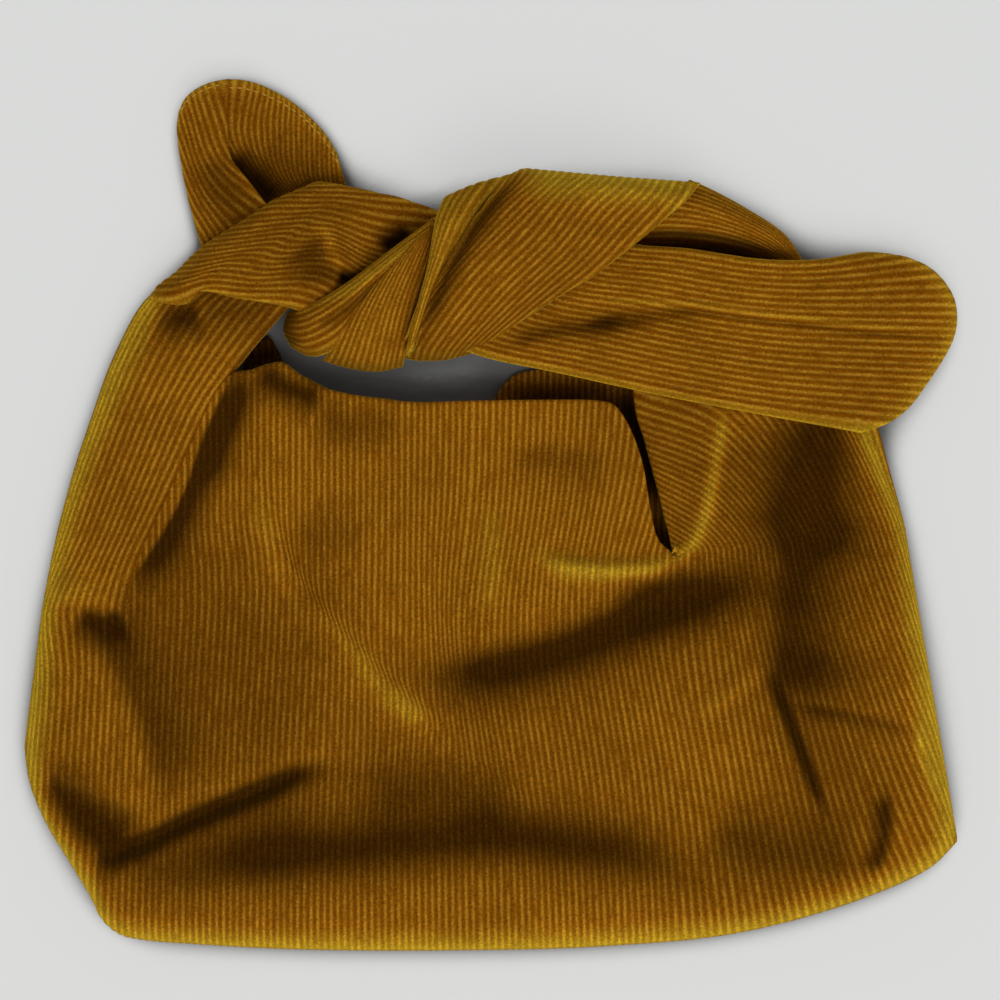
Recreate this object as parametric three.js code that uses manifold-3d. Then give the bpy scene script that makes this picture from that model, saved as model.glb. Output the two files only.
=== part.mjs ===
// A lined corduroy bag with two straps tied in a half knot, lying on its back.
// Millimetres, +Z up off the table. X runs across the bag and Y from its bottom to its knot.
import * as THREE from "three";
import { mergeVertices } from "three/addons/utils/BufferGeometryUtils.js";
import Module from "manifold-3d";

// Driving sizes of the cut pieces.
const BODY_WIDTH = 260; // across the bag on the line where the straps leave it
const BODY_HEIGHT = 113; // from that line down to the bottom fold
const LIP_HEIGHT = 50; // from that line up to the edge of the mouth
const HAND_GAP = 12; // between the mouth and the knot
const KNOT_DEPTH = 54; // the knot, measured across its wraps
const RIGHT_TAIL_LENGTH = 123; // from the knot's right edge to the tip
const LEFT_TAIL_LENGTH = 43; // beyond the left strap's upper edge
const CLOTH = 1.5; // outer corduroy with its pile
const LINING = 1.2; // lining corduroy

// How the bag lies.
const LINE_SLOPE = 0.095; // the strap line rises to the right
const SEAM_HEIGHT = 9; // side seam above the table
const EDGE_ROLL = 11; // how far in the rolled edge reaches
const BODY_CROWN = 24; // top of the front panel
const LINE_HEIGHT = 16; // front cloth at the strap line
const LIP_EDGE_HEIGHT = 17; // front cloth at the mouth's edge
const DEEP_FOLD = 4.5; // how far the slack front sinks in its sharper folds
const SOFT_FOLD = 3; // and in its broader ones
const FOLD_REACH = 6; // how far a fold's slopes reach to either side
const FOLD_FADE = 16; // the folds die out this far below the strap line
const SLIT = 2; // open slit between the front lip and a strap
const PLY_GAP = 0.4; // between two sewn layers
const PLY_SLACK = 0.6; // between straps that cross
const FOLD_GAP = 0.5; // between two pieces on either side of a fold line
const HEM_DROP = 4; // the back mouth lies lower than the front on the left
const STRAP_CROWN = 2; // how far the middle of a strap arches above its edges
const BAND_CROWN = 1.5; // the same for the knot's bands and the right tail
const FOLD_CROWN = 0.8; // the narrow fold beside the broad wrap
const FAN_CROWN = 4; // the gathered fan at the knot's lower left
const TIP_CROWN = 0.6; // the left tail, flat on the table

const STRAP = CLOTH + PLY_GAP + LINING;
const HALF_WIDTH = BODY_WIDTH / 2;
const HANDLE_RISE = LIP_HEIGHT + HAND_GAP + KNOT_DEPTH;
const CLOTH_COLOUR = 0x8a5a10;
const LINING_COLOUR = 0x74480c;

// Grid steps of the panels and of the straps.
const PANEL_STEPS = [20, 10];
const FOLDED_STEPS = [28, 14];
const LIP_STEPS = [12, 6];
const STRAP_STEPS = [12, 4];

const wasm = await Module();
wasm.setup();

const lineY = (x) => LINE_SLOPE * x;
const plies = (count) => count * (STRAP + PLY_SLACK);

// Plan points: x as a share of the half width, y as a share of one height above the strap line.
function planPoint(share, height, rise) {
  const x = share * HALF_WIDTH;
  return new THREE.Vector2(x, lineY(x) + height * rise);
}

// A strap's edge: shares of the half width and of the handle's rise, with a height in plies.
function strapPoint([share, height, count]) {
  const { x, y } = planPoint(share, height, HANDLE_RISE);
  return new THREE.Vector3(x, y, plies(count));
}

const strapEdge = (points) => new THREE.CatmullRomCurve3(points, false, "centripetal");

// The patch between four edges that share their corners.
function patch(bottom, top, left, right) {
  return (u, v) => {
    const across = bottom.getPoint(u).lerp(top.getPoint(u), v);
    const along = left.getPoint(v).lerp(right.getPoint(v), u);
    const low = bottom.getPoint(0).lerp(bottom.getPoint(1), u);
    const high = top.getPoint(0).lerp(top.getPoint(1), u);
    return across.add(along).sub(low.lerp(high, v));
  };
}

// The strip between a right-hand and a left-hand edge, raised along its middle.
function ribbon(rightEdge, leftEdge, crown) {
  return (u, v) => {
    const point = rightEdge.getPointAt(u).lerp(leftEdge.getPointAt(u), v);
    point.z += crown * 4 * v * (1 - v);
    return point;
  };
}

// One layer of cloth: the solid between two depths under a surface.
// On a rim that meets the other half of the bag the layer goes straight inwards.
function layer(surface, near, far, [columns, rows], isRim = () => false) {
  const step = 0.002;
  const inset = (t) => THREE.MathUtils.clamp(t, step, 1 - step);
  const pointAt = (u, v, depth) => {
    const along = surface(inset(u) + step, inset(v)).sub(surface(inset(u) - step, inset(v)));
    const across = surface(inset(u), inset(v) + step).sub(surface(inset(u), inset(v) - step));
    const normal = along.cross(across);
    if (isRim(u, v)) normal.z = 0;
    return surface(u, v).addScaledVector(normal.normalize(), -depth);
  };
  const positions = [];
  for (const depth of [near, far])
    for (let j = 0; j <= rows; j++)
      for (let i = 0; i <= columns; i++)
        positions.push(...pointAt(i / columns, j / rows, depth).toArray());
  const at = (side, i, j) => (side * (rows + 1) + j) * (columns + 1) + i;
  const index = [];
  const quad = (a, b, c, d) => index.push(a, b, c, a, c, d);
  for (let j = 0; j < rows; j++)
    for (let i = 0; i < columns; i++) {
      quad(at(0, i, j), at(0, i + 1, j), at(0, i + 1, j + 1), at(0, i, j + 1));
      quad(at(1, i, j), at(1, i, j + 1), at(1, i + 1, j + 1), at(1, i + 1, j));
    }
  for (let i = 0; i < columns; i++) {
    quad(at(1, i, 0), at(1, i + 1, 0), at(0, i + 1, 0), at(0, i, 0));
    quad(at(0, i, rows), at(0, i + 1, rows), at(1, i + 1, rows), at(1, i, rows));
  }
  for (let j = 0; j < rows; j++) {
    quad(at(0, 0, j), at(0, 0, j + 1), at(1, 0, j + 1), at(1, 0, j));
    quad(at(1, columns, j), at(1, columns, j + 1), at(0, columns, j + 1), at(0, columns, j));
  }
  const geometry = new THREE.BufferGeometry();
  geometry.setAttribute("position", new THREE.Float32BufferAttribute(positions, 3));
  return geometry.setIndex(index);
}

const outerLayer = (surface, steps, isRim) => layer(surface, 0, CLOTH, steps, isRim);
const innerLayer = (surface, steps, isRim) => layer(surface, CLOTH + PLY_GAP, STRAP, steps, isRim);

function solidOf(geometry) {
  const merged = mergeVertices(geometry);
  const vertProperties = merged.attributes.position.array;
  return new wasm.Manifold(
    new wasm.Mesh({ numProp: 3, vertProperties, triVerts: new Uint32Array(merged.index.array) }),
  );
}

// Joins two layers that overlap into one cut piece of cloth.
function sewn(first, second) {
  const mesh = solidOf(first).add(solidOf(second)).getMesh();
  const geometry = new THREE.BufferGeometry();
  geometry.setAttribute("position", new THREE.BufferAttribute(mesh.vertProperties, 3));
  return geometry.setIndex(new THREE.BufferAttribute(mesh.triVerts, 1));
}

const bag = new THREE.Group();

function addPiece(name, geometry, color) {
  const material = new THREE.MeshStandardMaterial({ color, roughness: 0.95, metalness: 0 });
  const mesh = new THREE.Mesh(geometry.toNonIndexed(), material);
  mesh.geometry.computeVertexNormals();
  mesh.name = name;
  bag.add(mesh);
}

// A strap piece is the outer corduroy and the lining sewn under it.
function addStrap(name, surface, steps = STRAP_STEPS) {
  addPiece(name, outerLayer(surface, steps), CLOTH_COLOUR);
  addPiece(name + "_lining", innerLayer(surface, steps), LINING_COLOUR);
}

// Body: two panels that meet in a seam half way up the rolled edge.
// The lower left corner is folded in, and the lower right one points out.
const bodyPoint = (share, height) => planPoint(share, height, BODY_HEIGHT);
const lineLeft = bodyPoint(-1, 0);
const lineRight = bodyPoint(1, 0);
const bottomLeft = bodyPoint(-0.835, -0.867);
const bottomRight = bodyPoint(1.116, -0.831);
const bodyPlan = patch(
  new THREE.CubicBezierCurve(bottomLeft, bodyPoint(-0.23, -1.03), bodyPoint(0.73, -1.09), bottomRight),
  new THREE.LineCurve(lineLeft, lineRight),
  new THREE.QuadraticBezierCurve(bottomLeft, bodyPoint(-1.13, -0.32), lineLeft),
  new THREE.QuadraticBezierCurve(bottomRight, bodyPoint(1.044, -0.4), lineRight),
);

function rollShare(distance) {
  const past = Math.max(0, 1 - distance / EDGE_ROLL);
  return Math.sqrt(1 - past * past);
}

// Grid lines crowd towards the rolled edges.
const crowdBoth = (t) => (1 - Math.cos(Math.PI * t)) / 2;
const crowdStart = (t) => 1 - Math.cos((Math.PI * t) / 2);

function bodySurface(heightAt) {
  return (s, t) => {
    const u = crowdBoth(s);
    const v = crowdStart(t);
    const sides = rollShare(u * BODY_WIDTH) * rollShare((1 - u) * BODY_WIDTH);
    const place = bodyPlan(u, v);
    return new THREE.Vector3(place.x, place.y, heightAt(v, sides * rollShare(v * BODY_HEIGHT), place));
  };
}

// The main folds of the front: along the bottom, above that, across the middle, the two
// that meet at the lower left, down the right side and under the left strap.
const frontFolds = [
  [SOFT_FOLD, [[-0.84, -0.71], [0.1, -0.72], [0.68, -0.92]]],
  [SOFT_FOLD, [[-0.31, -0.6], [0, -0.57], [0.34, -0.7]]],
  [DEEP_FOLD, [[-0.22, -0.28], [0.25, -0.23], [0.57, -0.11], [0.78, -0.06]]],
  [DEEP_FOLD, [[-1.03, -0.43], [-0.92, -0.57], [-0.8, -0.7]]],
  [DEEP_FOLD, [[-0.83, -0.62], [-0.68, -0.57], [-0.26, -0.47]]],
  [SOFT_FOLD, [[0.76, -0.02], [0.74, -0.24], [0.74, -0.45]]],
  [DEEP_FOLD, [[-0.94, -0.02], [-0.78, -0.11], [-0.7, -0.25]]],
].map(([depth, points]) => {
  const curve = new THREE.SplineCurve(points.map(([share, height]) => bodyPoint(share, height)));
  return [depth, curve.getPoints(12)];
});

function sinkAt(place) {
  return frontFolds.reduce((sum, [depth, points]) => {
    const apart = Math.min(...points.map((point) => point.distanceTo(place))) / FOLD_REACH;
    return sum + depth * Math.exp((-apart * apart) / 2);
  }, 0);
}

const frontSeam = SEAM_HEIGHT + PLY_GAP / 2;
const backSeam = SEAM_HEIGHT - PLY_GAP / 2;
const frontSurface = bodySurface((v, roll, place) => {
  const crown = LINE_HEIGHT + (BODY_CROWN - LINE_HEIGHT) * Math.sin(Math.PI * 0.9 * (1 - v));
  const fade = THREE.MathUtils.smoothstep((1 - v) * BODY_HEIGHT, 0, FOLD_FADE);
  return frontSeam + (crown - fade * sinkAt(place) - frontSeam) * roll;
});
const backHalf = bodySurface((v, roll) => backSeam * (1 - roll));
const backSurface = (s, t) => backHalf(1 - s, t);
const bodyRim = (s, t) => s === 0 || s === 1 || t === 0;

addPiece("front_panel", outerLayer(frontSurface, FOLDED_STEPS, bodyRim), CLOTH_COLOUR);
addPiece("front_lining", innerLayer(frontSurface, FOLDED_STEPS, bodyRim), LINING_COLOUR);

// Mouth: the front lip folds on the strap line, between the feet of the two straps.
const lipPoint = (share, height) => planPoint(share, height, LIP_HEIGHT);
const lipFoot = FOLD_GAP / LIP_HEIGHT;
const slitLeft = lipPoint(-0.785, lipFoot);
const slitRight = lipPoint(0.46, lipFoot);
const lipTopLeft = lipPoint(-0.43, 1.32);
const lipTopRight = lipPoint(0.315, 0.93);
const mouthLeft = new THREE.QuadraticBezierCurve(slitLeft, lipPoint(-0.61, 1.33), lipTopLeft);
const mouthRight = new THREE.QuadraticBezierCurve(slitRight, lipPoint(0.415, 0.8), lipTopRight);
const lipPlan = patch(
  new THREE.LineCurve(slitLeft, slitRight),
  new THREE.CubicBezierCurve(lipTopLeft, lipPoint(-0.29, 1), lipPoint(0, 1.04), lipTopRight),
  mouthLeft,
  mouthRight,
);
const lipSurface = (u, v) => {
  const { x, y } = lipPlan(u, v);
  return new THREE.Vector3(x, y, THREE.MathUtils.lerp(LINE_HEIGHT, LIP_EDGE_HEIGHT, v));
};
addPiece("front_lip", outerLayer(lipSurface, LIP_STEPS), CLOTH_COLOUR);
addPiece("front_lip_lining", innerLayer(lipSurface, LIP_STEPS), LINING_COLOUR);

// The back is one piece from the bottom to the mouth, flat on the table.
const backTopLeft = lipPoint(-0.5, 1.32).add(new THREE.Vector2(0, -HEM_DROP - HAND_GAP));
const backTopRight = lipPoint(0.36, 1.12);
const backRoot = -EDGE_ROLL / LIP_HEIGHT;
const backRootLeft = lipPoint(-0.785, backRoot);
const backRootRight = lipPoint(0.46, backRoot);
const backLipPlan = patch(
  new THREE.LineCurve(backRootLeft, backRootRight),
  new THREE.CubicBezierCurve(backTopLeft, lipPoint(-0.2, 0.9), lipPoint(0.05, 1.18), backTopRight),
  new THREE.QuadraticBezierCurve(backRootLeft, lipPoint(-0.68, 1), backTopLeft),
  new THREE.QuadraticBezierCurve(backRootRight, lipPoint(0.42, 0.8), backTopRight),
);
const backLipSurface = (u, v) => {
  const { x, y } = backLipPlan(1 - u, v);
  return new THREE.Vector3(x, y, 0);
};
for (const [name, half, color] of [
  ["back_panel", outerLayer, CLOTH_COLOUR],
  ["back_lining", innerLayer, LINING_COLOUR],
])
  addPiece(name, sewn(half(backSurface, PANEL_STEPS, bodyRim), half(backLipSurface, LIP_STEPS)), color);

// Straps: each rises from a side of the bag beside the mouth.
const besideMouth = (curve, t, offset, z) => {
  const { x, y } = curve.getPoint(t);
  return new THREE.Vector3(x + offset, y, z);
};
const lineFoot = FOLD_GAP / HANDLE_RISE;
const outerFoot = (share) => {
  const { x, y } = planPoint(share, lineFoot, HANDLE_RISE);
  return new THREE.Vector3(x, y, frontSeam);
};
const leftStrap = ribbon(
  strapEdge([
    besideMouth(mouthLeft, 0, -SLIT, LINE_HEIGHT),
    besideMouth(mouthLeft, 0.3, -SLIT, plies(4.4)),
    besideMouth(mouthLeft, 0.6, -SLIT, plies(4.3)),
    strapPoint([-0.53, 0.62, 4.1]),
    strapPoint([-0.44, 0.73, 3.8]),
  ]),
  strapEdge([
    outerFoot(-1),
    ...[
      [-0.965, 0.18, 2.6],
      [-0.885, 0.48, 2.6],
      [-0.83, 0.64, 2.2],
      [-0.765, 0.78, 2.05],
    ].map(strapPoint),
  ]),
  STRAP_CROWN,
);
addStrap("left_strap", leftStrap);

// The left strap turns over itself at the shoulder, runs through the knot and comes out
// of it as the right tail, which folds on the line where it leaves the knot.
const rightTailLine = new THREE.LineCurve3(...[[-0.01, 0.545, 4.6], [0.35, 0.795, 6]].map(strapPoint));
const insideKnot = rightTailLine.getTangent(0).cross(new THREE.Vector3(0, 0, -2 * FOLD_GAP));
const leftTurn = ribbon(
  strapEdge([
    ...[
      [-0.71, 0.775, 4.2],
      [-0.54, 0.765, 4.7],
      [-0.4, 0.73, 4.9],
      [-0.3, 0.74, 4.4],
      [-0.12, 0.74, 4],
    ].map(strapPoint),
    rightTailLine.getPoint(0.42).add(insideKnot),
  ]),
  strapEdge([
    ...[
      [-0.75, 0.8, 2.75],
      [-0.62, 0.91, 2.5],
      [-0.49, 0.99, 2.6],
      [-0.34, 1.035, 3.1],
      [-0.08, 0.93, 4],
    ].map(strapPoint),
    rightTailLine.getPoint(0.9).add(insideKnot),
  ]),
  BAND_CROWN,
);
addStrap("left_strap_turn", leftTurn);

// The right strap runs up behind the right tail to the fold at the knot's top.
const rightStrap = ribbon(
  strapEdge([
    outerFoot(1),
    ...[
      [0.95, 0.2, 2.5],
      [0.87, 0.5, 2.5],
      [0.75, 0.74, 2.5],
      [0.62, 0.87, 2.4],
      [0.52, 0.925, 2.3],
    ].map(strapPoint),
  ]),
  strapEdge([
    besideMouth(mouthRight, 0, SLIT, LINE_HEIGHT),
    besideMouth(mouthRight, 0.35, SLIT, plies(4.8)),
    besideMouth(mouthRight, 0.75, SLIT, plies(4.4)),
    strapPoint([0.36, 0.45, 3.7]),
    strapPoint([0.34, 0.62, 3]),
    strapPoint([0.26, 0.84, 2.4]),
    strapPoint([0.15, 0.99, 2.3]),
  ]),
  STRAP_CROWN,
);
addStrap("right_strap", rightStrap);

// Knot: the right strap folds over the left one, wraps down in front of it, passes under
// it on the table and comes out behind as the left tail.
const foldLine = [
  [-0.165, 0.54, 1.4],
  [-0.115, 0.69, 8.2],
  [-0.095, 0.81, 9.7],
  [-0.08, 0.965, 7.2],
];
const wrapLine = [
  [-0.15, 0.555, 1.55],
  [-0.1, 0.71, 8.6],
  [-0.01, 0.86, 10.2],
  [0.06, 0.95, 9.2],
  [0.13, 1.02, 2.8],
];
const shifted = (points, share) => points.map(([x, y, z]) => strapPoint([x + share, y, z]));
const wrapGap = (2 * PLY_SLACK) / HALF_WIDTH;
const foldGap = STRAP / HALF_WIDTH;

const wrap = ribbon(
  strapEdge(
    [
      [0, 0.565, 1.3],
      [0.11, 0.64, 7.4],
      [0.25, 0.71, 8.6],
      [0.38, 0.82, 8.8],
      [0.5, 0.91, 7.4],
      [0.52, 0.945, 2.8],
    ].map(strapPoint),
  ),
  strapEdge(shifted(wrapLine, wrapGap)),
  BAND_CROWN,
);
addStrap("knot_wrap", wrap);

const wrapFold = ribbon(
  strapEdge(shifted(wrapLine, -wrapGap)),
  strapEdge(shifted(foldLine, wrapGap)),
  FOLD_CROWN,
);
addPiece("knot_wrap_fold", outerLayer(wrapFold, STRAP_STEPS), CLOTH_COLOUR);

const lowerWrap = ribbon(
  strapEdge([strapPoint([-0.34, 0.57, 1.2]), strapPoint([-0.24, 0.55, 1.2]), ...shifted(foldLine, -foldGap)]),
  strapEdge(
    [
      [-0.44, 0.65, 3],
      [-0.38, 0.73, 6.3],
      [-0.26, 0.81, 6.9],
      [-0.17, 0.85, 7.4],
      [-0.1, 0.93, 8],
    ].map(strapPoint),
  ),
  FAN_CROWN,
);
addPiece("knot_lower_wrap", outerLayer(lowerWrap, STRAP_STEPS), CLOTH_COLOUR);

// It passes along the table to the fold line of the left tail.
const leftTailLine = new THREE.LineCurve3(...[[-0.645, 0.965, 1], [-0.315, 1.075, 1]].map(strapPoint));
const belowTail = leftTailLine.getTangent(0).cross(new THREE.Vector3(0, 0, FOLD_GAP));
const underKnot = ribbon(
  strapEdge([...[[0, 0.57, 1], [-0.13, 0.85, 1]].map(strapPoint), leftTailLine.getPoint(1).add(belowTail)]),
  strapEdge([
    ...[[-0.17, 0.55, 1], [-0.42, 0.72, 1]].map(strapPoint),
    leftTailLine.getPoint(0).add(belowTail),
  ]),
  0,
);
addStrap("knot_underpass", underKnot);

// Tails: the free ends of the two straps, each with a rounded tip.
const beyondKnot = ([share, height, count]) =>
  strapPoint([0.16 + (share * RIGHT_TAIL_LENGTH) / HALF_WIDTH, height, count]);
const rightTail = ribbon(
  strapEdge([
    rightTailLine.getPoint(0),
    ...[
      [0.13, 0.46, 5.2],
      [0.34, 0.4, 5.5],
      [0.62, 0.31, 5.6],
      [0.76, 0.262, 5],
      [0.83, 0.28, 4.7],
      [0.91, 0.36, 4.3],
      [0.97, 0.46, 4],
      [1, 0.53, 3.8],
    ].map(beyondKnot),
  ]),
  strapEdge([
    rightTailLine.getPoint(1),
    ...[
      [0.38, 0.77, 5.9],
      [0.62, 0.72, 5.6],
      [0.79, 0.73, 5],
      [0.89, 0.7, 4.5],
      [0.96, 0.645, 4.1],
      [1, 0.575, 3.9],
    ].map(beyondKnot),
  ]),
  BAND_CROWN,
);
addStrap("right_tail", rightTail);

const beyondStrap = ([share, height, count]) =>
  strapPoint([share, 0.94 + (height * LEFT_TAIL_LENGTH) / HANDLE_RISE, count]);
const leftTail = ribbon(
  strapEdge([
    leftTailLine.getPoint(1),
    ...[
      [-0.32, 0.45, 1.1],
      [-0.37, 0.67, 1.3],
      [-0.44, 0.86, 1.6],
      [-0.52, 0.98, 1.7],
      [-0.56, 1.01, 1.8],
    ].map(beyondStrap),
  ]),
  strapEdge([
    leftTailLine.getPoint(0),
    ...[
      [-0.66, 0.35, 1.2],
      [-0.68, 0.72, 1.6],
      [-0.675, 0.88, 1.8],
      [-0.64, 0.99, 1.8],
      [-0.585, 1.03, 1.8],
    ].map(beyondStrap),
  ]),
  TIP_CROWN,
);
addStrap("left_tail", leftTail);

// The part's origin is under the middle of the bag, on the table.
const box = new THREE.Box3().setFromObject(bag);
const middle = box.getCenter(new THREE.Vector3());
bag.position.set(-middle.x, -middle.y, -box.min.z);

const part = new THREE.Group();
part.add(bag);
part.updateMatrixWorld(true);

// The fold lines that the moving pieces turn about, and the overall size.
const strapLine = new THREE.LineCurve3(
  ...[lineLeft, lineRight].map(({ x, y }) => new THREE.Vector3(x, y, LINE_HEIGHT)),
);
// The right tail turns about a line along the top of its crown.
const overCrown = (t) => rightTailLine.getPoint(t).add(new THREE.Vector3(0, 0, BAND_CROWN));
const rightTailCrown = new THREE.LineCurve3(overCrown(0), overCrown(1));
for (const [name, line] of Object.entries({ strapLine, rightTailCrown, leftTailLine })) {
  const [from, to] = [0, 1].map((t) => bag.localToWorld(line.getPoint(t)));
  const direction = to.clone().sub(from).normalize();
  console.log(name, "from", from.toArray(), "to", to.toArray(), "along", direction.toArray());
}
console.log("size", box.getSize(new THREE.Vector3()).toArray());

export default part;
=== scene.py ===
"""A lined corduroy bag whose two straps are tied in a half knot, lying on its back."""

import math

import bmesh
import bpy
import numpy as np
from mathutils import Matrix, Vector


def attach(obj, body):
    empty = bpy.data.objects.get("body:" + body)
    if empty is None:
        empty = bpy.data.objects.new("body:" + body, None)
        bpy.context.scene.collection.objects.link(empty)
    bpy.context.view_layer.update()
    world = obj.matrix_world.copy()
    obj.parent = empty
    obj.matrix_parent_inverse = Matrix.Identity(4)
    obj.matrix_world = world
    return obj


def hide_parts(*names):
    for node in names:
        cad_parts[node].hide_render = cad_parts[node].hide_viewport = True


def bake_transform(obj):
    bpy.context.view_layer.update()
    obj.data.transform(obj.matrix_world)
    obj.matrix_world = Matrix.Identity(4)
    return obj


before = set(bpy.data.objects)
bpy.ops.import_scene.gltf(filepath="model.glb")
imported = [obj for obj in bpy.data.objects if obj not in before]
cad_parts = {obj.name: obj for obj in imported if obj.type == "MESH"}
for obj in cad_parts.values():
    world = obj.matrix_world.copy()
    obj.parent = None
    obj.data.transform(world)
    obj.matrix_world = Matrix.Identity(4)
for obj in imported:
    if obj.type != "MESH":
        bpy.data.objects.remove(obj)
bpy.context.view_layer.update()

# Front of the bag and the lip of its mouth: one cut piece of corduroy with upright ribs.
# It hangs slack over the empty inside, so it sinks in broad folds, and it rolls over at
# the bottom, where the front meets the back in a seam half way up the edge.
MM = 0.001  # lengths are in millimetres until they become a mesh
RIB = 1.92
RIB_HEIGHT = 0.3
CLOTH = 2.6
SEAM_HEIGHT = 9.0
ROLL = 9.0
WIDEST_ROLL = 2.4
LEFT_RIBS = 16
MIDDLE_RIBS = 86
RIGHT_RIBS = 38
ALL_RIBS = LEFT_RIBS + MIDDLE_RIBS + RIGHT_RIBS
LINE_LEFT = (-134.4, -28.7)
LINE_RIGHT = (124.5, -4.1)
BOTTOM = [
    (-139.5, -69.5),
    (-138, -79.7),
    (-133.2, -91.7),
    (-126, -103.7),
    (-120, -113.6),
    (-116.1, -121.1),
    (-111, -125.3),
    (-105, -126.8),
    (-87, -128.3),
    (-57, -129.8),
    (-12, -130.1),
    (33, -128.9),
    (75, -124.7),
    (111, -114.8),
    (132, -105.2),
    (140.1, -97.4),
]
LIP = [
    (-111.6, -25.1),
    (-106.5, -13.7),
    (-97.5, 4.9),
    (-90, 21.4),
    (-82.8, 36.4),
    (-77.4, 42.7),
    (-71.4, 43.9),
    (-66, 45.1),
    (-62.4, 45.7),
    (-56.7, 41.8),
    (-49.2, 38.2),
    (-39.9, 36.1),
    (-24, 34.3),
    (-6, 34.6),
    (15, 34.9),
    (33, 34.6),
    (37.2, 33.4),
    (40.8, 28.9),
    (45.6, 18.1),
    (49.5, 3.1),
    (52.8, -6.8),
    (56.4, -10.7),
]
FRONT_HEIGHTS = [(-110, 19), (-75, 23.5), (-40, 22.5), (-12, 18.5), (0, 17), (20, 17), (48, 17)]
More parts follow.
